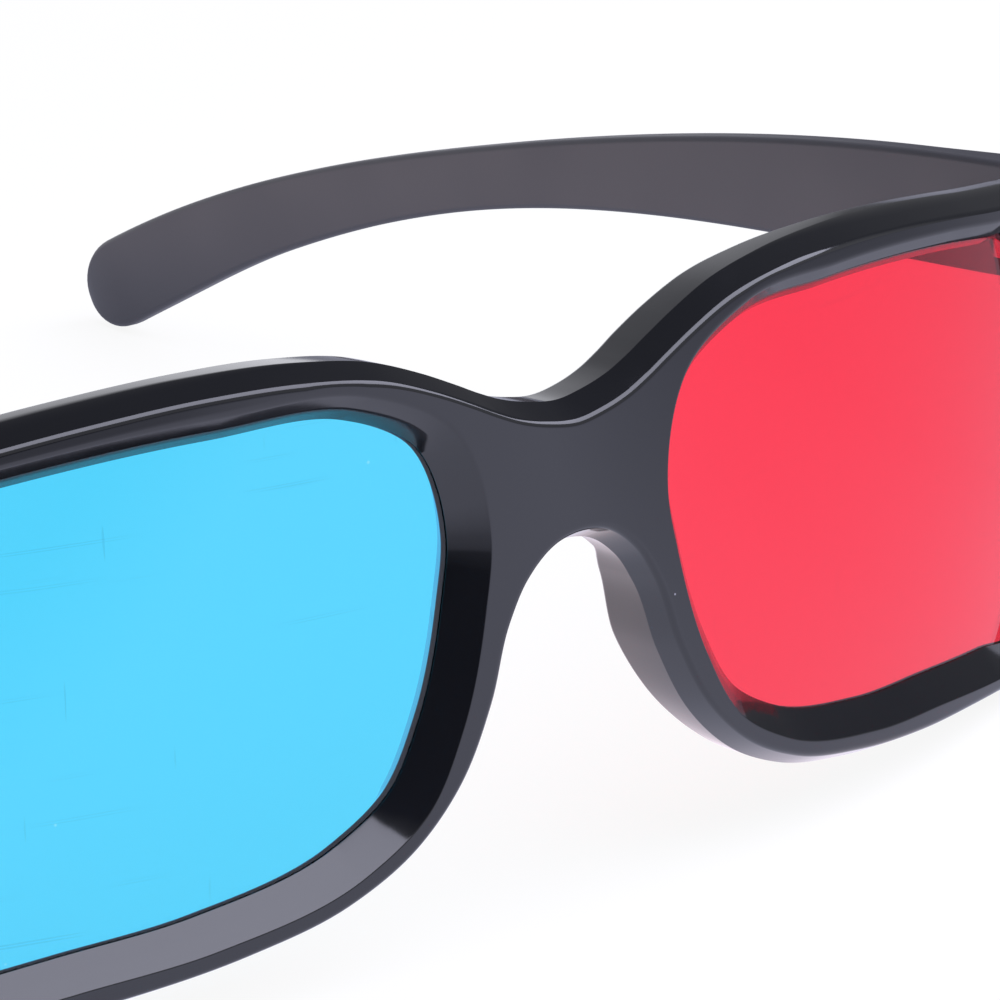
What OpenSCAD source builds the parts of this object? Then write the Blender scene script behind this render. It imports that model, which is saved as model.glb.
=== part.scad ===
// Red and cyan 3D glasses: a wrapped, moulded front with two snapped-in lenses,
// two folding temples and a screwed barrel hinge at each end.
// Modelled as worn, with the front facing -Y, then set down on its lower rims and temple tips.

/* [Front] */
// Gap between the two lens openings, across the bridge
bridge_gap = 17; // [15:0.5:20]
// Width of one lens opening on the front face
opening_w = 58.5; // [54:0.5:62]
// Height of one lens opening on the front face
opening_h = 41.4; // [37:0.2:45]
// Width of the end piece, from the lens opening to the outer end
end_w = 8.5; // [8:0.5:12]
// Face width of the rim above the lens
rim_top = 1.35; // [1:0.05:2.5]
// Face width of the rim below the lens
rim_bottom = 1.6; // [1:0.05:3]
// Radius to which the front is wrapped around the face
wrap_r = 142; // [125:1:170]
// Depth of the rim, from the front face to its back edge
rim_d = 5; // [4.5:0.1:6]
// Depth of the parting line behind the front face
parting_d = 2.4; // [1.8:0.1:2.8]
// How far the upper wall rises between the front face and the parting line
rise_top = 1.15; // [0.3:0.05:1.6]
// How far the side walls flare between the front face and the parting line
rise_side = 0.25; // [0.1:0.05:0.6]
// How far the lower wall drops between the front face and the parting line
rise_low = 0.85; // [0.3:0.05:1.2]
// Rounding of the front edge
edge_r = 0.35; // [0.2:0.05:0.6]
// Rounding of the back edge
back_r = 0.5; // [0.3:0.05:0.8]
// How far a nose wing stands behind the rim
wing_d = 3.3; // [2:0.1:4.5]
// Width of a nose wing where it grows out of the rim
wing_w = 1.9; // [1.5:0.1:2.4]
// Extra depth behind the bridge and behind the end pieces, which carry the hinges
ridge_d = 1.1; // [0.8:0.1:1.6]
// Extra depth that is left at the foot of a nose wing, on the rim's inner side
foot_d = 0.85; // [0.7:0.05:1.2]

/* [Lenses] */
// Depth of the lens seat behind the front face
seat_d = 2.4; // [2:0.1:2.6]
// Width of the bevel that leads down to the lens
bevel_w = 2.15; // [1.6:0.05:2.6]
// Thickness of the lens
lens_t = 0.8; // [0.6:0.05:1]
// Depth of the lens groove in the rim
groove_d = 1; // [0.6:0.05:1.2]
// Clearance of the lens in its groove
lens_play = 0.05; // [0.03:0.01:0.1]
// Width of the bevel behind the lens, up to the back edge of the rim
rear_bevel = 1.4; // [1:0.05:1.6]

/* [Temples] */
// Length of a temple along the head, from the hinge pin to the tip
temple_l = 138.7; // [122:0.1:152]
// Height of the temple at the hinge
root_h = 10.2; // [9:0.1:11]
// Height of the temple at its waist
waist_h = 6.2; // [5.5:0.1:8]
// Height of the temple at its tip
tip_h = 9; // [8:0.1:11]
// Thickness of the temple at the hinge
root_t = 4.2; // [3.6:0.1:5]
// Thickness of the temple at its tip
tip_t = 3.2; // [2.6:0.1:4]
// How far the temple drops towards the ear
drop = 26.1; // [20:0.1:30]
// How far the temple bows in towards the head
bow = 2.4; // [0:0.1:5]
// Corner rounding of the temple's section
temple_r = 1.2; // [0.8:0.05:1.4]
// Gap between the end piece and the open temple
butt_gap = 0.2; // [0.15:0.05:0.4]

/* [Hinges] */
// Radius of the hinge knuckles
knuckle_r = 1.4; // [1.2:0.05:1.6]
// Height of the whole hinge barrel
barrel_h = 5.4; // [4.5:0.1:6]
// Gap between neighbouring knuckles
knuckle_gap = 0.1; // [0.06:0.02:0.2]
// Clearance between the knuckles and the plastic
knuckle_clear = 0.3; // [0.2:0.05:0.4]
// Thickness of the hinge leaves
leaf_t = 1; // [0.8:0.05:1.2]
// Length of the front leaf from the pin
front_leaf_l = 4.8; // [4:0.1:5.2]
// Length of the temple leaf from the pin
temple_leaf_l = 7; // [5:0.5:12]
// Height of the temple leaf
temple_leaf_h = 3.2; // [2.5:0.1:3.6]
// Angle by which the end piece's pad follows the wrap of the front
pad_angle = 27; // [24:1:29]
// Radius of the hinge screw's shank
screw_r = 0.7; // [0.5:0.05:0.8]
// Running clearance of the screw in the knuckles
screw_play = 0.05; // [0.03:0.01:0.08]
// Radius of the screw head
head_r = 1.15; // [1:0.05:1.3]
// Height of the screw head
head_h = 0.6; // [0.4:0.05:0.8]
// Width of the slot in the screw head
slot_w = 0.35; // [0.25:0.05:0.5]

/* [Hidden] */

// Height of the middle of the lens opening's top edge above the bridge datum
opening_top = 10.3;
opening_bottom = opening_top - opening_h;
inner_x = bridge_gap / 2;
outer_x = inner_x + opening_w;
end_x = outer_x + end_w;

// Segments for each stretch of the outlines
face_steps = 3;
lens_steps = 5;

// The front's outline: how far across, then the heights of its upper and lower edges as shares of
// the opening's height, then the extra depth behind its lower edge as a share of the nose wing's and
// the extra depth behind its upper edge as a share of the ridge's.
// Across runs from 0 to 1 over half the bridge, to 2 over the lens and to 3 over the end piece.
FACE = [
    [0,     0.827, 0.693, 0,    0.55],
    [0.28,  0.835, 0.683, 0,    0.55],
    [0.61,  0.854, 0.633, 0,    0.7],
    [0.82,  0.873, 0.566, 0.5,  0.83],
    [1.009, 0.898, 0.430, 1,    1],
    [1.060, 0.932, 0.300, 0.6,  1],
    [1.130, 0.969, 0.203, 0.15, 0.78],
    [1.231, 0.993, 0.130, 0,    0.44],
    [1.368, 1.000, 0.085, 0,    0.08],
    [1.522, 0.987, 0.057, 0,    0],
    [1.675, 0.961, 0.041, 0,    0],
    [1.778, 0.939, 0.029, 0,    0],
    [1.885, 0.917, 0.015, 0,    0],
    [1.968, 0.900, 0.067, 0,    0.06],
    [2.200, 0.895, 0.280, 0.05, 0.3],
    [2.376, 0.892, 0.569, 0.08, 0.3],
    [2.624, 0.888, 0.667, 0.1,  0.3],
    [2.918, 0.865, 0.760, 0.1,  0.3]
];
// Shares of the opening's height and of the ridge's depth where the end piece is widest
END = [0.824, 0.3];

// The lens opening's outline, as shares of its width from the nose and of its height from below
OPENING = [
    [0,     0.686], [0.046, 0.897], [0.164, 0.988], [0.354, 1.000],
    [0.644, 0.972], [0.788, 0.942], [0.862, 0.926], [0.925, 0.874],
    [0.975, 0.745], [1.000, 0.539], [0.998, 0.333], [0.969, 0.130],
    [0.885, 0.004], [0.749, 0.023], [0.580, 0.050], [0.406, 0.073],
    [0.207, 0.142], [0.113, 0.229], [0.058, 0.360], [0.013, 0.569]
];

// Closed smooth curve through the points, with the same number of steps in each stretch
function flat_gap(p, q) = norm([q[0] - p[0], q[1] - p[1]]);
function slope(p, q, r) =
    let (a = flat_gap(p, q), b = flat_gap(q, r))
    ((q - p) * b / a + (r - q) * a / b) / (a + b);
function hermite(p, q, m, n, t) =
    let (t2 = t * t, t3 = t2 * t)
    p * (2 * t3 - 3 * t2 + 1) + m * (t3 - 2 * t2 + t) + q * (3 * t2 - 2 * t3) + n * (t3 - t2);
function closed_curve(pts, steps) =
    let (n = len(pts))
    [for (i = [0 : n - 1])
        let (p = pts[(i + n - 1) % n], q = pts[i], r = pts[(i + 1) % n], s = pts[(i + 2) % n])
        let (h = flat_gap(q, r))
        for (k = [0 : steps - 1]) hermite(q, r, slope(p, q, r) * h, slope(q, r, s) * h, k / steps)];

// Unit vector that points out of a clockwise curve at its point i
function out_at(curve, i) =
    let (n = len(curve), d = curve[(i + 1) % n] - curve[(i + n - 1) % n])
    [-d[1], d[0]] / norm([d[0], d[1]]);

// Depth of the wrapped front face behind its middle
function wrap(x) = wrap_r - sqrt(wrap_r * wrap_r - x * x);
function wrapped(x, z, d) = [x, wrap(x) + d, z];
function smooth(t) =
    let (c = min(1, max(0, t)))
    c * c * (3 - 2 * c);

// Closed skin over rings of equal length: the walls between them, without the ends
function wall_faces(rings, n) =
    [for (j = [0 : rings - 2], i = [0 : n - 1])
        let (a = j * n + i, b = j * n + (i + 1) % n)
        each [[a, b, b + n], [a, b + n, a + n]]];

// Front outline as points of place and of extra depth at the back
function across(s) =
    s < 1 ? s * inner_x : s < 2 ? inner_x + (s - 1) * opening_w : outer_x + (s - 2) * end_w;
function top_point(row) =
    [across(row[0]), opening_bottom + row[1] * opening_h + rim_top, row[4] * ridge_d];
function low_point(row) =
    [across(row[0]), opening_bottom + row[2] * opening_h - rim_bottom, row[3] * wing_d];
function mirrored(p) = [-p[0], p[1], p[2]];
last = len(FACE) - 1;
right_side = concat(
    [for (i = [1 : last]) top_point(FACE[i])],
    [[end_x, opening_bottom + END[0] * opening_h, END[1] * ridge_d]],
    [for (i = [last : -1 : 1]) low_point(FACE[i])]);
outline_points = concat(
    [top_point(FACE[0])], right_side,
    [low_point(FACE[0])], [for (i = [len(right_side) - 1 : -1 : 0]) mirrored(right_side[i])]);
face_curve = closed_curve(outline_points, face_steps);
face_n = len(face_curve);
face_out = [for (i = [0 : face_n - 1]) out_at(face_curve, i)];

// Flare of the wall at the parting line, more on the upper and on the lower side
function flare(out) =
    rise_side + (rise_top - rise_side) * pow(max(0, out[1]), 2) + (rise_low - rise_side) * max(0, -out[1]);
// Share of the flare that the back edge keeps
back_share = 0.9;
half_turn = sqrt(0.5);
extra_d = max(wing_d, ridge_d);
// Each ring of the front: move out by a length, share of the flare, depth, most of the extra depth
front_rings = [
    [-edge_r, 0, 0, 0],
    [-edge_r * (1 - half_turn), 0, edge_r * (1 - half_turn), 0],
    [0, 0, edge_r, 0],
    [0, 1, parting_d, 0],
    [0, back_share, rim_d - back_r, extra_d],
    [-back_r * (1 - half_turn), back_share, rim_d - back_r * (1 - half_turn), extra_d],
    [-back_r, back_share, rim_d, extra_d],
    [-wing_w, 0, rim_d, foot_d]
];
function front_point(i, ring) =
    let (p = face_curve[i], o = face_out[i], move = ring[0] + ring[1] * flare(o))
    wrapped(p[0] + move * o[0], p[1] + move * o[1], ring[2] + min(ring[3], max(0, p[2])));
front_points = [for (ring = front_rings, i = [0 : face_n - 1]) front_point(i, ring)];

// End of the front's skin: strips from the upper edge to the lower edge, on the ring that starts at f
function cap_faces(f) =
    let (half = face_n / 2)
    concat(
        [for (i = [0 : half / 2 - 1])
            each [[f + i, f + half - i - 1, f + i + 1], [f + i, f + half - i, f + half - i - 1]]],
        [for (i = [0 : half / 2 - 1])
            let (a = f + (face_n - i) % face_n, b = f + face_n - i - 1)
            each [[a, b, f + half + i + 1], [a, f + half + i + 1, f + half + i]]]);
function turned(faces) = [for (t = faces) [t[0], t[2], t[1]]];
function whole(faces) = [for (t = faces) if (t[0] != t[1] && t[1] != t[2] && t[0] != t[2]) t];

// Lens opening of the left eye
opening_points = [for (p = OPENING) [inner_x + p[0] * opening_w, opening_bottom + p[1] * opening_h]];
opening_curve = closed_curve(opening_points, lens_steps);
opening_n = len(opening_curve);
opening_out = [for (i = [0 : opening_n - 1]) out_at(opening_curve, i)];
function opening_point(i, move) = opening_curve[i] + move * opening_out[i];

groove_front = seat_d;
groove_back = seat_d + lens_t + 2 * lens_play;
// How far the cutter reaches in front of the face and behind the front
cut_front = 2;
cut_back = rim_d + extra_d + 2 * cut_front;
// Rings of the cutter: move out from the opening's edge, depth
cut_rings = [
    [bevel_w * cut_front / seat_d, -cut_front],
    [-bevel_w, groove_front],
    [groove_d - bevel_w, groove_front],
    [groove_d - bevel_w, groove_back],
    [-bevel_w, groove_back],
    [rear_bevel - bevel_w, rim_d],
    [rear_bevel - bevel_w, cut_back]
];

// How far outside the lens opening the temple's inner side lies, and how far below the opening's
// top the middle of the hinge and the middle of the temple's root lie
temple_off = 4;
pin_below = 7;
root_below = 7.3;

// Hinge pin, and the plane of the pad on the end piece that carries the front leaf
temple_in = outer_x + temple_off;
pad_gap = knuckle_r + knuckle_clear;
pin_x = temple_in - pad_gap;
// How deep the pad is cut into the end piece behind the pin
pad_cut = 1.3;
pin_y = wrap(pin_x) + rim_d + ridge_d - pad_cut + pad_gap / cos(pad_angle);
pin_z = opening_top - pin_below;
// How far the room behind the pad reaches, and how far it is wider than the leaf and the temple's root
pad_reach = 20;
pad_under = 0.5;

// Temple of the left side: middle line, height, thickness and inner side along its length
butt_y = pin_y - (pad_gap - butt_gap) / cos(pad_angle);
root_z = opening_top - root_below;
pad_drop = max(barrel_h / 2, pin_z - root_z + root_h / 2) + pad_under;
drop_power = 2.6;
// Shares of the length where the root's height and the straight inner side end, where the waist is
// and where the tip's height is reached
root_until = 0.04;
bow_from = 0.12;
waist_at = 0.54;
tip_from = 0.98;
temple_end = pin_y + temple_l;
function along(y) = max(0, (y - butt_y) / (temple_end - butt_y));
function middle_z(y) = root_z - drop * pow(along(y), drop_power);
lean_step = 0.1;
function lean(y) = atan((middle_z(y + lean_step) - middle_z(y)) / lean_step);
function temple_height(t) =
    waist_h + (root_h - waist_h) * (1 - smooth((t - root_until) / (waist_at - root_until)))
    + (tip_h - waist_h) * smooth((t - waist_at) / (tip_from - waist_at));
function temple_thick(t) = root_t + (tip_t - root_t) * t;
function inner_side(t) = temple_in - bow * pow(max(0, t - bow_from) / (1 - bow_from), 2);

// Stations along the temple: length along the head, then shares of the height and of the thickness
temple_steps = 24;
tip_r = tip_h / 2;
tip_turns = [18, 36, 52, 66, 78, 86];
straight_l = temple_end - tip_r;
temple_stations = concat(
    [for (k = [0 : temple_steps]) [butt_y + (straight_l - butt_y) * k / temple_steps, 1, 1]],
    [for (a = tip_turns) [straight_l + tip_r * sin(a) * cos(lean(straight_l)), cos(a), 0.5 + 0.5 * cos(a)]]);

// Section of the temple: a rounded rectangle, drawn from its inner side
corner_steps = 4;
// Largest rounding, as a share of the section's height or thickness
corner_most = 0.45;
function section_point(i, w, h, r) =
    let (side = floor(i / (corner_steps + 1)), k = i % (corner_steps + 1))
    let (a = 90 * side + 90 * k / corner_steps)
    let (cx = (side == 0 || side == 3) ? w - r : r, cz = side < 2 ? h / 2 - r : r - h / 2)
    [cx + r * cos(a), cz + r * sin(a)];
section_n = 4 * (corner_steps + 1);
function temple_point(k, i) =
    let (s = temple_stations[k], t = along(s[0]))
    let (h = temple_height(t) * s[1], w = temple_thick(t) * s[2])
    let (r = min(temple_r, corner_most * h, corner_most * w))
    let (p = section_point(i, w, h, r), a = k == 0 ? 0 : lean(s[0]))
    let (x = inner_side(t) + (temple_thick(t) - w) / 2 + p[0])
    let (mitre = k == 0 ? (x - pin_x) * tan(pad_angle) : 0)
    [x, s[0] + mitre - p[1] * sin(a), middle_z(s[0]) + p[1] * cos(a)];
temple_rings = len(temple_stations);
temple_points = [for (k = [0 : temple_rings - 1], i = [0 : section_n - 1]) temple_point(k, i)];

// Set down on the lower rims and on both tips, with the middle of its footprint at the origin
function lowest(pts) =
    let (low = min([for (p = pts) p[2]]))
    [for (p = pts) if (p[2] == low) p][0];
front_low = lowest(front_points);
tip_low = lowest(temple_points);
pitch = atan((tip_low[2] - front_low[2]) / (tip_low[1] - front_low[1]));
function stood_y(p) = p[1] * cos(pitch) + p[2] * sin(pitch);
function stood_z(p) = p[2] * cos(pitch) - p[1] * sin(pitch);
all_points = concat(front_points, temple_points);
mid_y = (min([for (p = all_points) stood_y(p)]) + max([for (p = all_points) stood_y(p)])) / 2;
lift = -min([for (p = all_points) stood_z(p)]);
module stood() {
    translate([0, -mid_y, lift]) rotate([-pitch, 0, 0]) children();
}

// The left side is modelled, and the right side is its mirror image
module on_side(side) {
    if (side == "left") children();
    else mirror([1, 0, 0]) children();
}

module front_skin() {
    polyhedron(
        points = front_points,
        faces = whole(concat(
            turned(cap_faces(0)),
            turned(wall_faces(len(front_rings), face_n)),
            cap_faces((len(front_rings) - 1) * face_n))));
}

// Everything that the bevel, the lens groove and the back opening take out of one rim
module opening_cutter() {
    rings = len(cut_rings);
    middle = [inner_x + opening_w / 2, opening_bottom + opening_h / 2];
    first = rings * opening_n;
    polyhedron(
        points = concat(
            [for (ring = cut_rings, i = [0 : opening_n - 1])
                let (p = opening_point(i, ring[0]))
                wrapped(p[0], p[1], ring[1])],
            [for (d = [cut_rings[0][1], cut_rings[rings - 1][1]]) wrapped(middle[0], middle[1], d)]),
        faces = concat(
            turned(wall_faces(rings, opening_n)),
            [for (i = [0 : opening_n - 1]) [first, i, (i + 1) % opening_n]],
            [for (i = [0 : opening_n - 1])
                let (b = (rings - 1) * opening_n)
                [first + 1, b + (i + 1) % opening_n, b + i]]));
}

// Room behind the end piece, down to the flat pad that the front leaf and the open temple meet
module pad_cutter() {
    translate([pin_x, pin_y, pin_z])
        rotate([0, 0, pad_angle])
            translate([-front_leaf_l - pad_under, -pad_gap, -pad_drop])
                cube([pad_reach, pad_reach, pad_reach]);
}

module front_frame() {
    color("#1c1d21")
        stood() difference() {
            front_skin();
            for (side = ["left", "right"]) on_side(side) opening_cutter();
            for (side = ["left", "right"]) on_side(side) pad_cutter();
        }
}

// A lens cut from a curved sheet, with its edge in the groove of the rim
module lens() {
    edge = groove_d - bevel_w - lens_play;
    over = 1;
    low = opening_bottom - over;
    front_d = seat_d + lens_play;
    stood() intersection() {
        translate([0, wrap_r, 0])
            rotate([90, 0, 0])
                linear_extrude(height = 2 * wrap_r)
                    polygon([for (i = [0 : opening_n - 1]) opening_point(i, edge)]);
        difference() {
            translate([0, wrap_r + front_d, low])
                cylinder(r = wrap_r, h = opening_h + 2 * over, $fn = 360);
            translate([0, wrap_r + front_d + lens_t, low - over])
                cylinder(r = wrap_r, h = opening_h + 4 * over, $fn = 360);
        }
    }
}

module red_lens() {
    color("#fe4e5a") lens();
}

module cyan_lens() {
    color("#60d7fe") mirror([1, 0, 0]) lens();
}

// A temple lofted from its mitred root to its rounded tip
module temple(side) {
    end = (temple_rings - 1) * section_n;
    color("#222327")
        stood() on_side(side) polyhedron(
            points = temple_points,
            faces = concat(
                wall_faces(temple_rings, section_n),
                [for (i = [1 : section_n - 2]) [0, i + 1, i]],
                [for (i = [1 : section_n - 2]) [end, end + i, end + i + 1]]));
}

module left_temple() {
    temple("left");
}

module right_temple() {
    temple("right");
}

// Knuckles: two on the front leaf, with the temple's one between them
middle_h = (barrel_h - 2 * knuckle_gap) / 3;
module at_pin(side) {
    stood() on_side(side) translate([pin_x, pin_y, pin_z]) children();
}

module bore() {
    translate([0, 0, -barrel_h]) cylinder(r = screw_r + screw_play, h = 2 * barrel_h, $fn = 48);
}

// Gap that keeps a leaf and the plastic under it apart
leaf_seat = 0.02;

module front_hinge(side) {
    color("#a9abb0")
        at_pin(side) rotate([0, 0, pad_angle]) difference() {
            union() {
                cylinder(r = knuckle_r, h = barrel_h, center = true, $fn = 48);
                translate([-front_leaf_l, leaf_seat - pad_gap, -barrel_h / 2])
                    cube([front_leaf_l, leaf_t, barrel_h]);
            }
            translate([-pad_gap, -2 * pad_gap, -middle_h / 2 - knuckle_gap])
                cube([4 * pad_gap, 4 * pad_gap, middle_h + 2 * knuckle_gap]);
            bore();
        }
}

module left_front_hinge() {
    front_hinge("left");
}

module right_front_hinge() {
    front_hinge("right");
}

// Outline of the temple leaf: a low arm at the knuckle, and the plate that lies on the temple
arm_h = middle_h - 2 * knuckle_gap;
leaf_corner = temple_leaf_h / 6;
leaf_half = [
    [-knuckle_r / 2, arm_h / 2], [pad_gap, arm_h / 2], [pad_gap, temple_leaf_h / 2],
    [temple_leaf_l - leaf_corner, temple_leaf_h / 2], [temple_leaf_l, temple_leaf_h / 2 - leaf_corner]
];
leaf_outline = concat(
    leaf_half,
    [for (i = [len(leaf_half) - 1 : -1 : 0]) [leaf_half[i][0], -leaf_half[i][1]]]);

module temple_hinge(side) {
    color("#a9abb0")
        at_pin(side) difference() {
            union() {
                cylinder(r = knuckle_r, h = middle_h, center = true, $fn = 48);
                translate([pad_gap - leaf_seat - leaf_t, 0, 0])
                    rotate([90, 0, 90])
                        linear_extrude(height = leaf_t) polygon(leaf_outline);
            }
            bore();
        }
}

module left_temple_hinge() {
    temple_hinge("left");
}

module right_temple_hinge() {
    temple_hinge("right");
}

// Slotted screw whose head rests on the upper knuckle
module hinge_screw(side) {
    color("#c4c6ca")
        at_pin(side) difference() {
            union() {
                translate([0, 0, -barrel_h / 2]) cylinder(r = screw_r, h = barrel_h + head_h / 2, $fn = 48);
                translate([0, 0, barrel_h / 2 + leaf_seat]) cylinder(r = head_r, h = head_h, $fn = 48);
            }
            translate([-2 * head_r, -slot_w / 2, barrel_h / 2 + leaf_seat + head_h / 2])
                cube([4 * head_r, slot_w, head_h]);
        }
}

module left_hinge_screw() {
    hinge_screw("left");
}

module right_hinge_screw() {
    hinge_screw("right");
}

front_frame();
red_lens();
cyan_lens();
left_temple();
right_temple();
left_front_hinge();
right_front_hinge();
left_temple_hinge();
right_temple_hinge();
left_hinge_screw();
right_hinge_screw();
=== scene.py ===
import math

import bmesh
import bpy
import numpy as np
from mathutils import Matrix, Vector
from mathutils.geometry import delaunay_2d_cdt


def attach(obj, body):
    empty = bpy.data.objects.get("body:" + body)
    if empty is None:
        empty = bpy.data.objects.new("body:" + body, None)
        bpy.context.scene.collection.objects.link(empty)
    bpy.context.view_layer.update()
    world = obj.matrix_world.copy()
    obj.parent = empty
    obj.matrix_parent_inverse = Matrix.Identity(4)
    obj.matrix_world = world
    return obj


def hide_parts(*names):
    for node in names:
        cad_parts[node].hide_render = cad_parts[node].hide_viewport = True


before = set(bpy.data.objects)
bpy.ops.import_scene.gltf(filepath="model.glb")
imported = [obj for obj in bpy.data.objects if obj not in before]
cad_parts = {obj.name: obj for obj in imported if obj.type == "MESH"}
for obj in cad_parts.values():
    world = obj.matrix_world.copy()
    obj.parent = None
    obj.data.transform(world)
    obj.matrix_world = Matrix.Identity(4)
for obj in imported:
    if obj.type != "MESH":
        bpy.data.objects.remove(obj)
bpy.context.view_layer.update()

# Front: rims, bridge, nose wings and end pieces in one piece, injection-moulded in black polystyrene.
# The two halves of the mould meet in a parting line round the outer wall, and both lens openings have
# a wide bevel that leads down to the groove in which the lens is snapped.
MM = 0.001
bridge_gap, opening_w, opening_h, opening_top, end_w = 17, 58.5, 41.4, 10.3, 8.5
rim_top, rim_bottom, wrap_r, rim_d, parting_d = 1.55, 1.6, 142, 5, 2.4
rise_top, rise_side, rise_low, back_r = 0.95, 0.25, 0.85, 0.5
wing_d, wing_w, ridge_d, foot_d = 3.3, 1.9, 1.1, 0.85
seat_d, bevel_w, lens_t, groove_d, lens_play, rear_bevel = 2.4, 2.15, 0.8, 1, 0.05, 1.65
pin, pad_angle, pad_gap, leaf_reach, pad_drop = (69.3, 24.7664, 3.3), 27, 1.7, 5.3, 5.9
inner_x, outer_x = bridge_gap / 2, bridge_gap / 2 + opening_w
end_x, opening_bottom = outer_x + end_w, opening_top - opening_h

# How far across (0 to 1 over half the bridge, to 2 over the lens, to 3 over the end piece), then the upper
# and the lower edge as shares of the opening's height, then the shares of the nose wing and of the rear ridge
face_rows = [
    (0, 0.827, 0.693, 0, 0.55), (0.28, 0.835, 0.683, 0, 0.55), (0.61, 0.854, 0.633, 0, 0.7),
    (0.82, 0.873, 0.566, 0.5, 0.83), (1.009, 0.898, 0.430, 1, 1), (1.060, 0.932, 0.300, 0.6, 1),
    (1.130, 0.969, 0.203, 0.15, 0.78), (1.231, 0.993, 0.130, 0, 0.44), (1.368, 1.000, 0.085, 0, 0.08),
    (1.522, 0.987, 0.057, 0, 0), (1.675, 0.961, 0.041, 0, 0), (1.778, 0.939, 0.029, 0, 0),
    (1.885, 0.917, 0.015, 0, 0), (1.968, 0.900, 0.067, 0, 0.06), (2.200, 0.895, 0.280, 0.05, 0.3),
    (2.376, 0.892, 0.569, 0.08, 0.3), (2.624, 0.888, 0.667, 0.1, 0.3), (2.918, 0.865, 0.760, 0.1, 0.3)]
end_share, end_ridge = 0.824, 0.3
# Points round a lens opening, clockwise, as shares of its width and its height
opening_rows = [
    (0, 0.686), (0.046, 0.897), (0.164, 0.988), (0.354, 1.000), (0.644, 0.972), (0.788, 0.942),
    (0.862, 0.926), (0.925, 0.874), (0.975, 0.745), (1.000, 0.539), (0.998, 0.333), (0.969, 0.130),
    (0.885, 0.004), (0.749, 0.023), (0.580, 0.050), (0.406, 0.073), (0.207, 0.142), (0.113, 0.229),
    (0.058, 0.360), (0.013, 0.569)]


def across(share):
    """Distance from the middle of the bridge."""
    if share < 1:
        return share * inner_x
    return inner_x + (share - 1) * opening_w if share < 2 else outer_x + (share - 2) * end_w


def wrap(x):
    """Depth of the wrapped front face behind its middle."""
    return wrap_r - np.sqrt(wrap_r * wrap_r - x * x)


def smooth_ring(points, steps):
    """Closed curve through the points, shaped by the distances between them."""
    here = np.array(points, float)
    before, after, last = np.roll(here, 1, 0), np.roll(here, -1, 0), np.roll(here, -2, 0)

    def slope(a, b, c):
        """Direction of the curve at the middle one of three points."""
        u, v = (np.linalg.norm((q - p)[:, :2], axis=1)[:, None] for p, q in ((a, b), (b, c)))
        return ((b - a) * v / u + (c - b) * u / v) / (u + v)

    length = np.linalg.norm((after - here)[:, :2], axis=1)[:, None]
    leave, arrive = slope(before, here, after) * length, slope(here, after, last) * length
    t = np.arange(steps)[:, None, None] / steps
    curve = (here * (2 * t**3 - 3 * t**2 + 1) + leave * (t**3 - 2 * t**2 + t)
             + after * (3 * t**2 - 2 * t**3) + arrive * (t**3 - t**2))
    return curve.transpose(1, 0, 2).reshape(-1, here.shape[1])


def outward(curve):
    """Unit directions out of a clockwise curve."""
    d = (np.roll(curve, -1, 0) - np.roll(curve, 1, 0))[:, :2]
    d /= np.linalg.norm(d, axis=1)[:, None]
    return np.stack([-d[:, 1], d[:, 0]], 1)


def rounded(corners, radii, steps=5):
    """Rows of points along a wall's section, with each inner corner rounded to its radius."""
    rows = [corners[0]]
    for before, corner, after, radius in zip(corners, corners[1:], corners[2:], radii):
        u, v = ((p - corner) / np.linalg.norm(p - corner, axis=1)[:, None] for p in (before, after))
        half = 0.5 * np.arccos(np.clip((u * v).sum(1), -1, 1))[:, None]
        middle = corner + (u + v) / np.linalg.norm(u + v, axis=1)[:, None] * radius / np.sin(half)
        first, end = (corner + w * radius / np.tan(half) - middle for w in (u, v))
        turn = math.pi - 2 * half
        for share in np.linspace(0, 1, steps + 1):
            on_arc = (np.sin((1 - share) * turn) * first + np.sin(share * turn) * end) / np.sin(turn)
            rows.append(middle + on_arc)
    return rows + [corners[-1]]


# The glasses are modelled as worn and then tipped on to their lower rims and temple tips
pitch, middle_y, lift = math.radians(3.00577), 80.8191, 33.7412


def stood(points):
    """Points of the worn glasses in millimetres, set down on the floor, in metres."""
    x, y, z = np.asarray(points, float).T
    c, s = math.cos(pitch), math.sin(pitch)
    return np.stack([x, y * c + z * s - middle_y, z * c - y * s + lift], 1) * MM


def inside(points, ring):
    """Which of the flat points lie inside the ring."""
    a, b = ring, np.roll(ring, -1, 0)
    x, z = points[:, :1], points[:, 1:]
    crosses = (a[:, 1] > z) != (b[:, 1] > z)
    rise = np.where(b[:, 1] == a[:, 1], 1, b[:, 1] - a[:, 1])
    return (crosses & (x < a[:, 0] + (z - a[:, 1]) * (b[:, 0] - a[:, 0]) / rise)).sum(1) % 2 == 1


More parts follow.
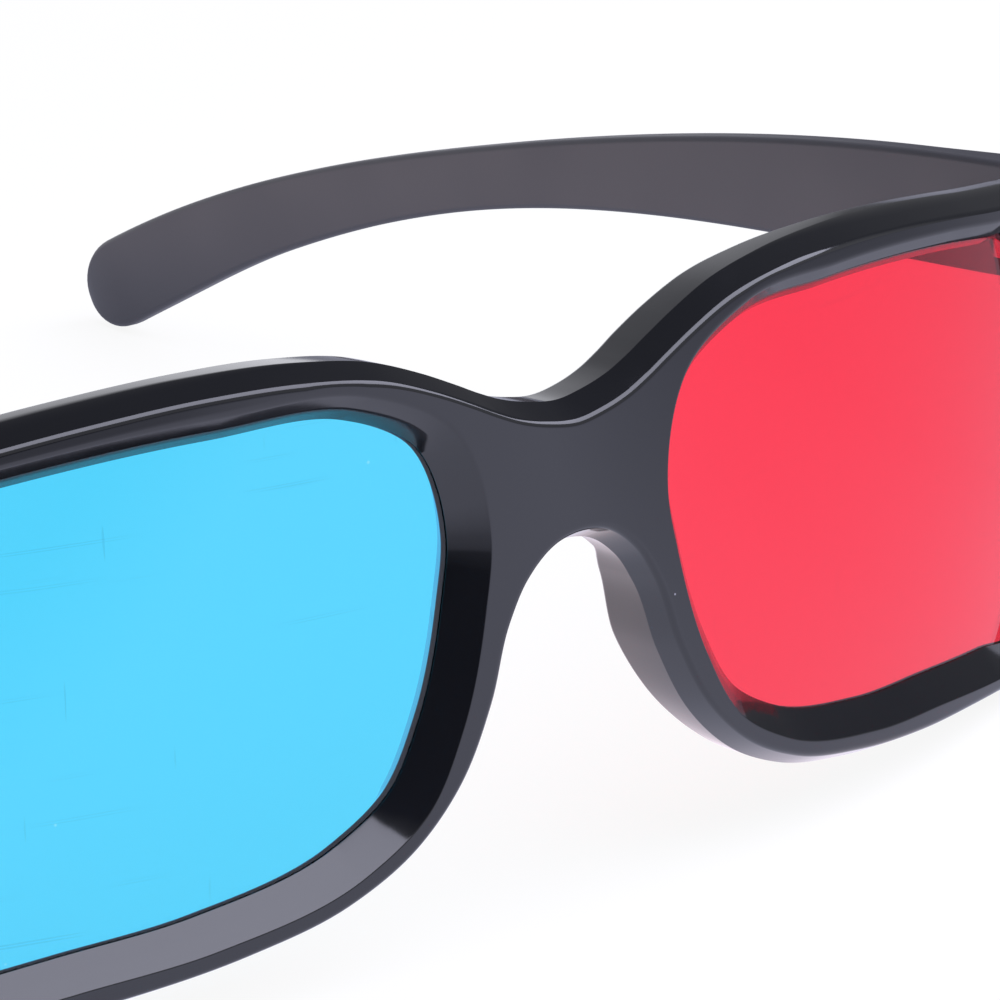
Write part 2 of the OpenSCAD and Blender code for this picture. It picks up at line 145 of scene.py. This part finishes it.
def sheet_between(rings, spacing, row_share=0.866, clear_share=0.6):
    """Triangles inside the first flat ring and outside the others, as (points, corner numbers)."""
    low, high = rings[0].min(0), rings[0].max(0)
    x, z = np.meshgrid(np.arange(low[0], high[0], spacing), np.arange(low[1], high[1], spacing * row_share))
    x[1::2] += spacing / 2
    grid = np.stack([x.ravel(), z.ravel()], 1)
    edge = np.concatenate(rings)
    grid = grid[inside(grid, rings[0])]
    for ring in rings[1:]:
        grid = grid[~inside(grid, ring)]
    near = np.array([np.min(np.abs(edge - p).max(1)) for p in grid])
    points = np.concatenate([edge, grid[near > clear_share * spacing]])
    sides, start = [], 0
    for ring in rings:
        count = len(ring)
        sides += [(start + i, start + (i + 1) % count) for i in range(count)]
        start += count
    hull_triangles, merge_below = 0, 1e-9
    made = delaunay_2d_cdt([Vector(p) for p in points], sides, [], hull_triangles, merge_below)
    flat, origin = np.array([tuple(v) for v in made[0]]), [o[0] for o in made[3]]
    corners = np.array(made[2])
    middles = flat[corners].mean(1)
    keep = inside(middles, rings[0])
    for ring in rings[1:]:
        keep &= ~inside(middles, ring)
    return points, np.array(origin)[corners[keep]]


def wall_faces(starts, count):
    """Four-cornered faces between neighbouring rings that start at these point numbers."""
    return [(a + i, a + (i + 1) % count, b + (i + 1) % count, b + i)
            for a, b in zip(starts, starts[1:]) for i in range(count)]


def made_object(name, points, faces, crease_deg):
    """Object of a closed mesh with smooth faces and creases along its sharper edges."""
    mesh = bpy.data.meshes.new(name)
    mesh.from_pydata([tuple(p) for p in points], [], [tuple(int(i) for i in f) for f in faces])
    shape = bmesh.new()
    shape.from_mesh(mesh)
    bmesh.ops.recalc_face_normals(shape, faces=shape.faces)
    shape.to_mesh(mesh)
    shape.free()
    mesh.shade_smooth()
    mesh.set_sharp_from_angle(angle=math.radians(crease_deg))
    made = bpy.data.objects.new(name, mesh)
    bpy.context.scene.collection.objects.link(made)
    return made


def top_point(row):
    """Point of the upper edge: how far across, how high, and how much deeper the ridge makes it."""
    return across(row[0]), opening_bottom + row[1] * opening_h + rim_top, row[4] * ridge_d


def low_point(row):
    """Point of the lower edge: how far across, how high, and how much deeper the nose wing makes it."""
    return across(row[0]), opening_bottom + row[2] * opening_h - rim_bottom, row[3] * wing_d


right_side = ([top_point(r) for r in face_rows[1:]]
              + [(end_x, opening_bottom + end_share * opening_h, end_ridge * ridge_d)]
              + [low_point(r) for r in face_rows[:0:-1]])
outline = smooth_ring([top_point(face_rows[0]), *right_side, low_point(face_rows[0]),
                       *[(-x, z, deep) for x, z, deep in right_side[::-1]]], steps=10)
outline_out = outward(outline)
upward, downward = np.clip(outline_out[:, 1], 0, 1), np.clip(-outline_out[:, 1], 0, 1)
flare = rise_side + (rise_top - rise_side) * upward**2 + (rise_low - rise_side) * downward
extra = np.clip(outline[:, 2], 0, None)


def section(*columns):
    """Corner of a wall's section for every point of a ring: how far out, how deep."""
    return np.stack(np.broadcast_arrays(*columns), 1).astype(float)


opening = smooth_ring([(inner_x + u * opening_w, opening_bottom + v * opening_h) for u, v in opening_rows],
                      steps=22)
opening_out = outward(opening)
# Width of the rounded rear edge, narrower on a thin rim and round the tips of the end pieces
end_from, end_full, end_rear_w, rear_over = 58, 68, 1, 0.1
from_middle = np.abs(outline[:, 0])
one_side = np.stack([from_middle, outline[:, 1]], 1)
rim_w = np.linalg.norm(one_side[:, None] - opening, axis=2).min(1)
rear_w = np.minimum(np.interp(from_middle, [end_from, end_full], [wing_w, end_rear_w]), rim_w + rear_over)
# The wall runs from the front face over the front edge and the parting line to the rear face, and the front
# edge is rounded as far as the width of the rim allows
edge_w, end_edge_w, rim_left, edge_r_share, rear_flare_share = 0.72, 0.5, 0.48, 0.76, 0.9
face_edge = np.minimum(np.interp(from_middle, [end_from, end_full], [edge_w, end_edge_w]), rim_w - rim_left)
front_r = edge_r_share * face_edge
# The parting line is crisp near the bridge and along the bottom, and polished soft along the outer top
crisp_r, softer_by, soft_from, soft_full = 0.1, 3.9, 18, 38
parting_r = crisp_r + softer_by * np.interp(from_middle, [soft_from, soft_full], [0, 1]) * upward**4
wall_rows = rounded([
    section(-face_edge, 0), section(-front_r * flare / (parting_d - front_r), 0),
    section(flare, parting_d), section(rear_flare_share * flare, rim_d + extra),
    section(-rear_w, rim_d + np.minimum(extra, foot_d))], [front_r[:, None], parting_r[:, None], back_r])


def ring_points(curve, out, row):
    """Wrapped points of one ring, from how far out and how deep its section lies."""
    x, z = (curve[:, k] + row[:, 0] * out[:, k] for k in (0, 1))
    return np.stack([x, wrap(x) + row[:, 1], z], 1)


# Rear surface between the upper and the lower edge, a little deeper towards the wings and the ridges
rows_x = np.array([across(r[0]) for r in face_rows])
row_low, row_top = (np.array([point(r) for r in face_rows]) for point in (low_point, top_point))


def rear_depth(x, z):
    """Depth of the rear surface at a place."""
    low, top, low_extra, top_extra = (
        np.interp(np.abs(x), rows_x, column)
        for column in (row_low[:, 1], row_top[:, 1], row_low[:, 2], row_top[:, 2]))
    low_extra, top_extra = np.minimum(low_extra, foot_d), np.minimum(top_extra, foot_d)
    return rim_d + low_extra + (top_extra - low_extra) * np.clip((z - low) / (top - low), 0, 1)


flat_level = np.zeros(len(opening))
groove_back = seat_d + lens_t + 2 * lens_play
rear_out = rear_bevel - bevel_w
rear = rear_depth(opening[:, 0] + rear_out * opening_out[:, 0], opening[:, 1] + rear_out * opening_out[:, 1])
# The bevel bulges and meets the face in a soft edge along the top, and is flat with a crisp edge elsewhere.
# Each row holds what a size is everywhere, what the top adds to it, and how late that sets in
soft = np.clip(opening_out[:, 1], 0, 1)
bulge, face_lead, bevel_edge_r = (
    everywhere + top * soft**late
    for everywhere, top, late in ((0.02, 0.18, 5), (0.22, 0.2, 1), (0.18, 0.5, 1)))
bulge_r, groove_r, rear_edge_r, rear_lead = 2, 0.05, 0.2, 0.15
opening_wall = rounded([
    section(face_lead, 0), section(flat_level, 0), section(-bevel_w / 2 - bulge, seat_d / 2 - bulge),
    section(flat_level - bevel_w, seat_d), section(flat_level + groove_d - bevel_w, seat_d),
    section(flat_level + groove_d - bevel_w, groove_back), section(flat_level - bevel_w, groove_back),
    section(flat_level + rear_out, rear), section(flat_level + rear_out + rear_lead, rear)],
    [bevel_edge_r[:, None], bulge_r, groove_r, groove_r, groove_r, groove_r, rear_edge_r], steps=4)

front_points, front_faces, face_rings, rear_rings, total = [], [], [], [], 0
for rows, curve, out, sign in ((wall_rows, outline, outline_out, 1), (opening_wall, opening, opening_out, 1),
                               (opening_wall, opening, opening_out, -1)):
    rings = [ring_points(curve, out, row) * (sign, 1, 1) for row in rows]
    starts = [total + k * len(curve) for k in range(len(rings))]
    front_points += rings
    front_faces += wall_faces(starts, len(curve))
    face_rings.append((rings[0][:, [0, 2]], starts[0]))
    rear_rings.append((rings[-1][:, [0, 2]], starts[-1]))
    total += len(rings) * len(curve)
for borders, depth in ((face_rings, lambda x, z: 0 * x), (rear_rings, rear_depth)):
    flat, corners = sheet_between([ring for ring, _ in borders], spacing=0.9)
    numbers = np.concatenate([start + np.arange(len(ring)) for ring, start in borders])
    x, z = flat[len(numbers):].T
    numbers = np.concatenate([numbers, total + np.arange(len(x))])
    front_points.append(np.stack([x, wrap(x) + depth(x, z), z], 1))
    front_faces += numbers[corners].tolist()
    total += len(x)
front = made_object("moulded_front", stood(np.concatenate(front_points)), front_faces, crease_deg=40)

# A flat pad is cut behind each end piece, for the hinge leaf and the open temple, by a box that reaches
# well beyond the front
cutters, beyond, turn = [], 20, math.radians(pad_angle)
box = np.array([(x, y, z) for x in (-leaf_reach, beyond) for y in (-pad_gap, beyond)
                for z in (-pad_drop, beyond)])
box_faces = [(0, 1, 3, 2), (4, 6, 7, 5), (0, 4, 5, 1), (2, 3, 7, 6), (0, 2, 6, 4), (1, 5, 7, 3)]
turned_box = np.stack([box[:, 0] * math.cos(turn) - box[:, 1] * math.sin(turn),
                       box[:, 0] * math.sin(turn) + box[:, 1] * math.cos(turn), box[:, 2]], 1)
for sign in (1, -1):
    cutter = made_object("pad_cutter", stood((turned_box + pin) * (sign, 1, 1)), box_faces, crease_deg=30)
    cut = front.modifiers.new("pad", "BOOLEAN")
    cut.object, cut.operation, cut.solver = cutter, "DIFFERENCE", "EXACT"
    cutters.append(cutter)
weighted = front.modifiers.new("normals", "WEIGHTED_NORMAL")
weighted.keep_sharp = True
cut_mesh = bpy.data.meshes.new_from_object(front.evaluated_get(bpy.context.evaluated_depsgraph_get()))
front.modifiers.clear()
front.data = cut_mesh
for cutter in cutters:
    bpy.data.objects.remove(cutter)


def linear(hex_colour):
    """Linear colour of an sRGB hex value."""
    parts = [int(hex_colour[i:i + 2], 16) / 255 for i in (1, 3, 5)]
    return tuple(c / 12.92 if c <= 0.04045 else ((c + 0.055) / 1.055) ** 2.4 for c in parts) + (1,)


def add_node(tree, kind, values=None, **settings):
    """Adds a node with its settings; a value that is a node's output is linked, any other is set."""
    made = tree.nodes.new(kind)
    for key, value in settings.items():
        setattr(made, key, value)
    for key, value in (values or {}).items():
        if isinstance(value, bpy.types.NodeSocket):
            tree.links.new(value, made.inputs[key])
        else:
            made.inputs[key].default_value = value
    return made


def new_material(name):
    """Empty node material, its tree, and the place on the object for its patterns."""
    made = bpy.data.materials.new(name)
    made.use_nodes = True
    made.node_tree.nodes.clear()
    return made, made.node_tree, add_node(made.node_tree, "ShaderNodeTexCoord").outputs["Object"]


def noise(tree, place, size_mm, detail):
    """Cloudy pattern with patches of this size."""
    return add_node(tree, "ShaderNodeTexNoise", {
        "Vector": place, "Scale": 1 / (size_mm * MM), "Detail": detail}).outputs["Fac"]


def spots(tree, place, apart_mm):
    """Outputs of a pattern of scattered points that lie this far apart."""
    return add_node(tree, "ShaderNodeTexVoronoi", {
        "Vector": place, "Scale": 1 / (apart_mm * MM), "Randomness": 1.0}).outputs


def ramp(tree, value, start, end, low=0.0, high=1.0):
    """Runs from low to high while the value runs from start to end."""
    return add_node(tree, "ShaderNodeMapRange", {
        "Value": value, "From Min": start, "From Max": end, "To Min": low, "To Max": high}).outputs["Result"]


def worked_out(tree, operation, *values):
    """Result of a calculation with the values."""
    return add_node(tree, "ShaderNodeMath", dict(enumerate(values)), operation=operation).outputs["Value"]


def blended(tree, share, first, second):
    """Colour that goes from the first to the second with the share."""
    return add_node(tree, "ShaderNodeMix", {0: share, 6: first, 7: second}, data_type="RGBA").outputs[2]


def bumps(tree, height, strength, depth_mm, **under):
    """Direction of a surface with bumps of this depth, which may lie on others."""
    return add_node(tree, "ShaderNodeBump", {
        "Height": height, "Strength": strength, "Distance": depth_mm * MM, **under}).outputs["Normal"]


def add_surface(tree, values):
    """Ends a material in a plastic or metal surface with these values."""
    shader = add_node(tree, "ShaderNodeBsdfPrincipled", values)
    add_node(tree, "ShaderNodeOutputMaterial", {"Surface": shader.outputs["BSDF"]})


# Black polystyrene from a polished mould: nearly no colour of its own, so the eye sees the white table
# and the dark room mirrored in it, with slow moulding waves, fine dust and faint rubbed patches
polished, tree, place = new_material("black_polystyrene_polished")
waves = noise(tree, place, size_mm=9, detail=1.0)
grain = noise(tree, place, size_mm=0.5, detail=2.0)
slow = bumps(tree, waves, strength=0.12, depth_mm=0.1)
fine = bumps(tree, grain, strength=0.03, depth_mm=0.02, Normal=slow)
rubbed = noise(tree, place, size_mm=6, detail=4.0)
gloss = ramp(tree, rubbed, 0.35, 0.75, low=0.07, high=0.13)
dust = spots(tree, place, apart_mm=1.8)
speck = ramp(tree, dust["Distance"], 0.035, 0.06, low=1.0, high=0.0)
few = worked_out(tree, "GREATER_THAN", dust["Color"], 0.9)
shown = worked_out(tree, "MULTIPLY", speck, few)
colour = blended(tree, shown, linear("#121317"), linear("#8a8890"))
add_surface(tree, {"Base Color": colour, "Roughness": gloss, "Normal": fine, "IOR": 1.59})
front.data.materials.clear()
front.data.materials.append(polished)
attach(front, "front")
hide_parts("front_frame")

# Lenses: cut from dyed clear acrylic sheet of 0.8 mm, red for the left eye and cyan for the right,
# bent to the wrap of the front and snapped into the groove behind the bevel.
lens_edge = groove_d - bevel_w - lens_play
lens_ring = opening + lens_edge * opening_out
lens_front = seat_d + lens_play
for name, sign, dyed, scratched, marked in (("red_lens", 1, "#ff2c46", "#ec2840", "#ffb4c0"),
                                            ("cyan_lens", -1, "#4cd3fc", "#2898c8", "#c8f0ff")):
    flat, corners = sheet_between([lens_ring], spacing=1.5)
    count, rim = len(flat), len(lens_ring)
    layers = [np.stack([flat[:, 0] * sign, wrap(flat[:, 0]) + deep, flat[:, 1]], 1)
              for deep in (lens_front, lens_front + lens_t)]
    faces = [tuple(c) for c in corners] + [tuple(c + count) for c in corners]
    faces += [(i, (i + 1) % rim, count + (i + 1) % rim, count + i) for i in range(rim)]
    lens = made_object(name + "_sheet", stood(np.concatenate(layers)), faces, crease_deg=40)
    # Dyed acrylic sheet: clear and smooth, so the eye sees the white table tinted through it, with faint
    # hairlines from wiping, short strokes across them and small pale chips. The hairlines are drawn wider
    # than real ones, which would be too fine to show
    clear, tree, place = new_material(name.replace("lens", "acrylic_sheet_clear"))
    dye, fade, strongest = linear(dyed), 0.06, 0.4
    # How each kind of scratch is stretched and turned, its width in mm, and how rare it is
    for stretch, tilt, width, rare in (((0.008, 0.008, 1.0), 0.08, 0.16, 0.8),
                                       ((1.0, 1.0, 0.05), 0.3, 0.35, 0.84)):
        along = add_node(tree, "ShaderNodeMapping", {
            "Vector": place, "Rotation": (0.0, tilt, 0.0), "Scale": stretch}).outputs["Vector"]
        streaks = noise(tree, along, size_mm=width, detail=0.0)
        hairline = ramp(tree, streaks, rare, rare + fade, high=strongest)
        dye = blended(tree, hairline, dye, linear(scratched))
    chip = ramp(tree, spots(tree, place, apart_mm=7)["Distance"], 0.012, 0.022, low=0.8, high=0.0)
    dye = blended(tree, chip, dye, linear(marked))
    add_surface(tree, {"Base Color": dye, "Roughness": 0.02, "IOR": 1.49, "Transmission Weight": 1.0})
    lens.data.materials.append(clear)
    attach(lens, "front")
    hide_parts(name)

# Temples: injection-moulded in the same black polystyrene from an etched mould, mitred at the end piece,
# slim at the waist, dropping to a rounded tip behind the ear, and bowed in towards the head.
temple_l, root_h, waist_h, tip_h, root_t, tip_t = 138.7, 10.2, 6.2, 9, 4.2, 3.2
drop, drop_power, bow, butt_gap, root_below, temple_off = 26.1, 2.6, 2.4, 0.2, 7.3, 4
tip_l, tip_swell, inner_corner_r, root_corner_r, rounder_by = 6.6, 0.5, 0.6, 1.2, 1.2
butt_y = pin[1] - (pad_gap - butt_gap) / math.cos(math.radians(pad_angle))
temple_end, temple_in, root_z = pin[1] + temple_l, outer_x + temple_off, opening_top - root_below
straight_end = temple_end - tip_l
# Shares of the length from which each change of form starts, and over which it runs
root_from, root_run, tip_from, tip_run = 0.04, 0.5, 0.54, 0.44
swell_from, swell_run, bow_from, rounder_run = 0.76, 0.16, 0.12, 0.1


def ease(t):
    """Share of a change that starts and ends softly."""
    t = min(1, max(0, t))
    return t * t * (3 - 2 * t)


def temple_middle(y):
    """Height of the temple's middle line."""
    return root_z - drop * max(0, (y - butt_y) / (temple_end - butt_y)) ** drop_power


def temple_lean(y, step=0.1):
    """Angle at which the middle line climbs, below zero where it drops."""
    return math.atan((temple_middle(y + step) - temple_middle(y)) / step)


def temple_section(y, height_share, thick_share, root_share):
    """Ring of the left temple: flat inside, rounded outside, square to the middle line or mitred."""
    t = max(0, (y - butt_y) / (temple_end - butt_y))
    swell = tip_swell * ease((t - swell_from) / swell_run) * height_share
    high = (waist_h + (root_h - waist_h) * (1 - ease((t - root_from) / root_run))
            + (tip_h - waist_h) * ease((t - tip_from) / tip_run)) * height_share + swell
    whole = root_t + (tip_t - root_t) * t
    thick = whole * thick_share
    inner = temple_in - bow * (max(0, t - bow_from) / (1 - bow_from)) ** 2 + (whole - thick) / 2
    # A corner takes up at most these shares of the height and the thickness
    inner_r = min(inner_corner_r, 0.45 * high, 0.3 * thick)
    outer_r = min(root_corner_r + rounder_by * ease(t / rounder_run), 0.45 * high, 0.6 * thick)
    lean = temple_lean(y) * (1 - root_share)
    ring = []
    for corner in range(4):
        outside, above = corner in (0, 3), corner < 2
        r = outer_r if outside else inner_r
        cx, cz = thick - r if outside else r, high / 2 - r if above else r - high / 2
        for a in np.radians(90 * corner + np.linspace(0, 90, 9)):
            px, pz = inner + cx + r * math.cos(a), cz + r * math.sin(a) - swell / 2
            mitre = root_share * (px - pin[0]) * math.tan(math.radians(pad_angle))
            ring.append((px, y + mitre - pz * math.sin(lean), temple_middle(y) + pz * math.cos(lean)))
    return ring


# Where each ring lies, its shares of the height and the thickness, and how far it is mitred: a rounded butt
# end, the length, on the first 24th of which the mitre fades out, and the rounded tip
lean_end, mitre_l = temple_lean(straight_end), (straight_end - butt_y) / 24
stations = [(butt_y, 0.94, 0.88, 1.0), (butt_y + 0.1, 0.985, 0.97, 1.0), (butt_y + 0.35, 1, 1, 1.0)]
stations += [(y, 1, 1, max(0, 1 - (y - butt_y) / mitre_l))
             for y in np.linspace(butt_y + 0.8, straight_end, 110)]
stations += [(straight_end + tip_l * math.sin(a) * math.cos(lean_end), math.cos(a),
              0.5 + 0.5 * math.cos(a), 0)
             for a in np.radians([8, 16, 24, 32, 40, 48, 55, 62, 68, 74, 79, 83, 86])]
temple_rings = [temple_section(*s) for s in stations]
ring_count = len(temple_rings[0])
last_ring = (len(temple_rings) - 1) * ring_count
temple_faces = wall_faces([k * ring_count for k in range(len(temple_rings))], ring_count)
temple_faces += [tuple(range(ring_count)), tuple(range(last_ring, last_ring + ring_count))]

# The same polystyrene from an etched mould: a fine even grain that scatters the light to a soft grey.
# The grain is drawn at 0.25 mm, because a real one would be too fine to show
satin, tree, place = new_material("black_polystyrene_satin")
etch = noise(tree, place, size_mm=0.25, detail=2.0)
sunk = noise(tree, place, size_mm=14, detail=1.0)
slow = bumps(tree, sunk, strength=0.15, depth_mm=0.2)
fine = bumps(tree, etch, strength=0.12, depth_mm=0.03, Normal=slow)
worn = ramp(tree, sunk, 0.3, 0.7, low=0.38, high=0.46)
tone = blended(tree, sunk, linear("#303036"), linear("#38383e"))
add_surface(tree, {"Base Color": tone, "Roughness": worn, "Normal": fine, "IOR": 1.59})
for side, sign in (("left", 1), ("right", -1)):
    points = stood(np.array(temple_rings).reshape(-1, 3) * (sign, 1, 1))
    temple = made_object(side + "_temple_moulded", points, temple_faces, crease_deg=40)
    temple.data.materials.append(satin)
    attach(temple, side + "_arm")
    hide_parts(side + "_temple")

# Hinges: stamped steel leaves with rolled knuckles, nickel-plated, fixed to the end piece and the temple.
# Nickel is a bright, slightly warm metal; the stamping leaves a fine drawn grain in it.
plated, tree, place = new_material("nickel_plated_steel_stamped")
drawn = add_node(tree, "ShaderNodeMapping", {"Vector": place, "Scale": (1.0, 0.06, 1.0)}).outputs["Vector"]
grain = noise(tree, drawn, size_mm=0.12, detail=2.0)
relief = bumps(tree, grain, strength=0.08, depth_mm=0.02)
rough = ramp(tree, grain, 0.3, 0.7, low=0.22, high=0.34)
add_surface(tree, {"Base Color": linear("#c9c5bc"), "Metallic": 1.0, "Roughness": rough, "Normal": relief})
for side in ("left", "right"):
    for leaf in ("_front_hinge", "_temple_hinge"):
        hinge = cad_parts[side + leaf]
        hinge.data.materials.clear()
        hinge.data.materials.append(plated)

# Hinge screws: slotted pins turned from steel bar, which hold the knuckles together.
# Turning leaves a fine roughness on the bright grey metal.
turned_steel, tree, place = new_material("turned_steel_bright")
turning = noise(tree, place, size_mm=0.08, detail=1.0)
relief = bumps(tree, turning, strength=0.06, depth_mm=0.01)
rough = ramp(tree, turning, 0.3, 0.7, low=0.16, high=0.26)
add_surface(tree, {"Base Color": linear("#bfc1c4"), "Metallic": 1.0, "Roughness": rough, "Normal": relief})
for side in ("left", "right"):
    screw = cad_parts[side + "_hinge_screw"]
    screw.data.materials.clear()
    screw.data.materials.append(turned_steel)

# Table: a sheet of white card, seen as white, with the object's shadow on it. Its glow carries painted light:
# a painted pool of cool light along its middle, and left of it painted dark for the dark of the room; the
# polished plastic mirrors both.
card_half, card_drop, glow_share = 3, 0.0003, 0.9
cool, bright_behind, white = (0.97, 0.99, 1.25), (1.5, 1.34, 1.5, 1), (1, 1, 1, 1)
floor_mesh = bpy.data.meshes.new("white_card")
card_corners = [(x * card_half, y * card_half, 0) for x, y in ((-1, -1), (1, -1), (1, 1), (-1, 1))]
floor_mesh.from_pydata(card_corners, [], [(0, 1, 2, 3)])
floor = bpy.data.objects.new("white_card", floor_mesh)
floor.location = (0, 0, -card_drop)
bpy.context.scene.collection.objects.link(floor)
card, tree, place = new_material("white_card_matt_painted_glow")
rays = add_node(tree, "ShaderNodeLightPath").outputs
split = add_node(tree, "ShaderNodeSeparateXYZ", {0: place}).outputs
# The painted pool spans a metre from the left to the right, and towards the viewer its edges lean to the
# right
pool_turn, pool_lean, pool_from, pool_to = -0.06, 0.6, -0.584, 0.416
front_part = worked_out(tree, "MINIMUM", split["Y"], pool_turn)
leaning = worked_out(tree, "MULTIPLY_ADD", front_part, pool_lean, split["X"])
pool = add_node(tree, "ShaderNodeValToRGB", {"Fac": ramp(tree, leaning, pool_from, pool_to)})
# Share of the way from the left to the right, and how bright the card's painted glow is there
for at, bright in ((0.27, 0.04), (0.29, 0.3), (0.4, 0.48), (0.45, 1.08), (0.555, 1.12), (0.58, 0.88),
                   (0.62, 0.62), (0.67, 0.42), (0.75, 0.28)):
    stop = pool.color_ramp.elements.new(at)
    stop.color = tuple(bright * c for c in cool) + (1,)
pool.color_ramp.elements.remove(pool.color_ramp.elements[-1])
# Behind the front, where the card lies close to the backdrop, its glow is painted brighter and less blue
behind_lean, behind_from, behind_full, middle_to, middle_end = 0.5, -0.07, -0.055, 0.025, 0.05
rearward = worked_out(tree, "MULTIPLY_ADD", split["X"], behind_lean, split["Y"])
behind = ramp(tree, rearward, behind_from, behind_full)
near_middle = ramp(tree, split["X"], middle_to, middle_end, low=1.0, high=0.0)
bright_part = worked_out(tree, "MULTIPLY", behind, near_middle)
painted_card_glow = blended(tree, bright_part, pool.outputs["Color"], bright_behind)
# The camera sees the card white, straight and through the lenses; other rays see the painted glow
seen = worked_out(tree, "MAXIMUM", rays["Is Camera Ray"], rays["Is Transmission Ray"])
glow = add_node(tree, "ShaderNodeEmission", {"Color": blended(tree, seen, painted_card_glow, white)})
paper = add_node(tree, "ShaderNodeBsdfDiffuse", {"Color": linear("#f2f2f2")})
both = add_node(tree, "ShaderNodeMixShader", {0: glow_share, 1: paper.outputs[0], 2: glow.outputs[0]})
add_node(tree, "ShaderNodeOutputMaterial", {"Surface": both.outputs[0]})
floor.data.materials.append(card)

# Studio: a white backdrop behind the card, a grey room in front with a dark left side, and a long softbox
# above the front. The camera sees white all round, also through the lenses, and the polished plastic
# mirrors the bright and the dark parts.
world = bpy.data.worlds.new("studio")
bpy.context.scene.world = world
world.use_nodes = True
tree = world.node_tree
tree.nodes.clear()
rays = add_node(tree, "ShaderNodeLightPath").outputs
way = add_node(tree, "ShaderNodeTexCoord").outputs["Generated"]
# Each ramp runs over a part of the unit vector: X to the right, Y to the backdrop, Z up
split = add_node(tree, "ShaderNodeSeparateXYZ", {0: way}).outputs
backdrop = ramp(tree, split["Y"], 0.72, 0.79)
lower = ramp(tree, split["Z"], 0.1, 0.55, low=1.15, high=0.35)
lit_backdrop = worked_out(tree, "MULTIPLY", backdrop, lower)
ahead = ramp(tree, split["Y"], -0.35, 0.0, low=0.5, high=0.12)
dark_left = ramp(tree, split["X"], -0.45, -0.15, low=0.06, high=1.0)
mirrored = worked_out(tree, "MULTIPLY_ADD", ahead, dark_left, lit_backdrop)
seen = worked_out(tree, "MAXIMUM", rays["Is Camera Ray"], rays["Is Transmission Ray"])
fill_light, seen_white = 0.4, 1.0
fill = add_node(tree, "ShaderNodeMix", {0: rays["Is Glossy Ray"], 2: fill_light, 3: mirrored})
level = add_node(tree, "ShaderNodeMix", {0: seen, 2: fill.outputs[0], 3: seen_white})
sky = add_node(tree, "ShaderNodeBackground", {"Color": (0.98, 0.99, 1.06, 1), "Strength": level.outputs[0]})
add_node(tree, "ShaderNodeOutputWorld", {"Surface": sky.outputs[0]})

box_l, box_w, box_watts, box_away = 1.4, 0.8, 12.2, 0.9
softbox = bpy.data.lights.new("softbox", "AREA")
softbox.shape, softbox.size, softbox.size_y, softbox.energy = "RECTANGLE", box_l, box_w, box_watts
softbox.color = (0.97, 0.98, 1.2)
lamp = bpy.data.objects.new("softbox", softbox)
aim, short_way = Vector((0.31, -0.43, 0.84)).normalized(), Vector((-0.308, 0.94, 0.0))
long_side = aim.cross(short_way).normalized()
turned_lamp = Matrix((long_side, aim.cross(long_side), aim)).transposed().to_4x4()
turned_lamp.translation = aim * box_away
lamp.matrix_world = turned_lamp
bpy.context.scene.collection.objects.link(lamp)

# Camera: a close-up from the front right of the wearer, a little above, on a long lens. Its place and its
# focal length were worked out from the two lens openings, which mirror each other.
focal_px, image_px, centre_px, centre_py, distance = 4732.78, 1000, 581.703, 480, 342.674
azimuth, elevation, roll = -0.683165, 0.269694, -0.0561952
sensor_mm, clip_start = 36, 0.01
back = np.array([math.sin(azimuth) * math.cos(elevation), -math.cos(azimuth) * math.cos(elevation),
                 math.sin(elevation)])
level_right = np.array([math.cos(azimuth), math.sin(azimuth), 0])
level_up = np.cross(back, level_right)
right = math.cos(roll) * level_right + math.sin(roll) * level_up
up = math.cos(roll) * level_up - math.sin(roll) * level_right
offset = ((centre_px - image_px / 2) * distance / focal_px, -(centre_py - image_px / 2) * distance / focal_px)
eye = back * distance - right * offset[0] - up * offset[1]
shot = bpy.data.cameras.new("close_up")
shot.sensor_width, shot.lens = sensor_mm, focal_px * sensor_mm / image_px
shot.clip_start = clip_start
camera = bpy.data.objects.new("close_up", shot)
bpy.context.scene.collection.objects.link(camera)
axes = (stood([right, up, back]) - stood([(0, 0, 0)])) / MM
camera_pose = Matrix(axes.T.tolist()).to_4x4()
camera_pose.translation = stood([eye])[0]
camera.matrix_world = camera_pose
bpy.context.scene.camera = camera
bpy.context.scene.view_settings.view_transform = "Standard"
